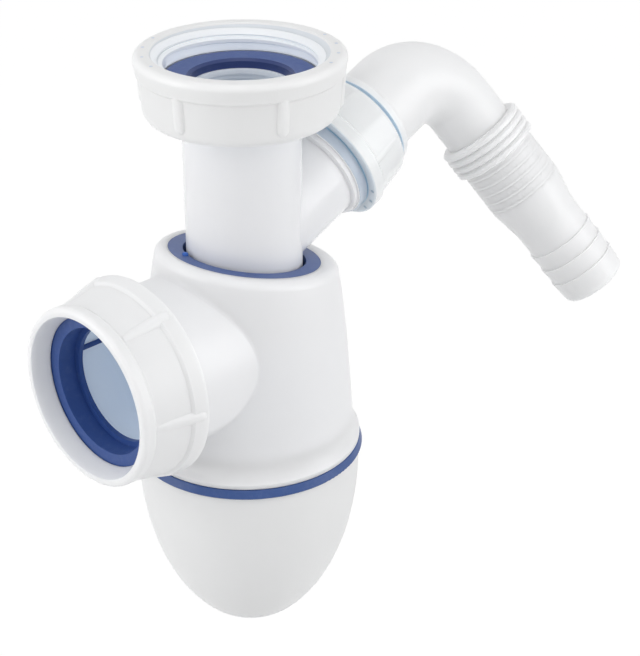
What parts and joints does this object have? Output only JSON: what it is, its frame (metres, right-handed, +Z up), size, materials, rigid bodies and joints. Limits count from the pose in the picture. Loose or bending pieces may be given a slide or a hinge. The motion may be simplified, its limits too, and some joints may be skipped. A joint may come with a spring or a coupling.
{
  "type": "washing machine trap",
  "caption": "Bottle trap for a sink with a swivel hose branch for a washing machine, a side outlet for waste pipe and a screw-off egg-shaped cup; white plastic with blue seals.",
  "frame": {"origin": "on the axis of the inlet nut's thread, in the plane of the inlet washer's upper face, where the sink waste's end seats", "axes": "+Z up along the inlet tube's axis, out of the inlet nut; -X along the outlet's axis, out of the outlet; the hose branch leaves towards +X"},
  "size_m": [0.1929, 0.0974, 0.2012],
  "materials": {
    "satin_white": "satin",
    "blue_washer": "satin",
    "gloss_white_tube": "gloss",
    "blue_branch_seal": "satin",
    "gloss_white_branch_nut": "gloss",
    "satin_white_elbow": "satin",
    "blue_neck_seal": "satin",
    "gloss_white_body": "gloss",
    "blue_outlet_seal": "satin",
    "satin_white_outlet_nut": "satin",
    "blue_cup_seal": "satin",
    "matte_white_cup": "matte"
  },
  "bodies": {
    "inlet_nut": {"inlet_nut": "satin_white"},
    "inlet": {"inlet_tube": "gloss_white_tube", "inlet_washer": "blue_washer", "branch_seal": "blue_branch_seal"},
    "branch_nut": {"branch_nut": "gloss_white_branch_nut"},
    "elbow": {"hose_elbow": "satin_white_elbow"},
    "trap": {"trap_body": "gloss_white_body", "neck_seal": "blue_neck_seal", "outlet_seal": "blue_outlet_seal"},
    "outlet_nut": {"outlet_nut": "satin_white_outlet_nut"},
    "cup": {"cup": "matte_white_cup", "cup_seal": "blue_cup_seal"}
  },
  "joints": [
    {"name": "tube_swivel", "type": "hinge", "parent": "inlet_nut", "child": "inlet", "pos_m": [0, 0, 0], "axis": [0, 0, 1], "continuous": true},
    {"name": "height_slide", "type": "slide", "parent": "inlet", "child": "trap", "axis": [0, 0, -1], "range_m": [0, 0.02]},
    {"name": "branch_nut_turn", "type": "hinge", "parent": "inlet", "child": "branch_nut", "pos_m": [0, 0, -0.0526], "axis": [0.9114, 0, 0.4115], "continuous": true},
    {"name": "elbow_swivel", "type": "hinge", "parent": "inlet", "child": "elbow", "pos_m": [0, 0, -0.0526], "axis": [0.9114, 0, 0.4115], "continuous": true},
    {"name": "outlet_nut_turn", "type": "hinge", "parent": "trap", "child": "outlet_nut", "pos_m": [0, 0, -0.0844], "axis": [-1, 0, 0], "continuous": true},
    {"name": "cup_turn", "type": "hinge", "parent": "trap", "child": "cup", "pos_m": [0, 0, -0.1225], "axis": [0, 0, -1], "range_deg": [0, 90]}
  ]
}
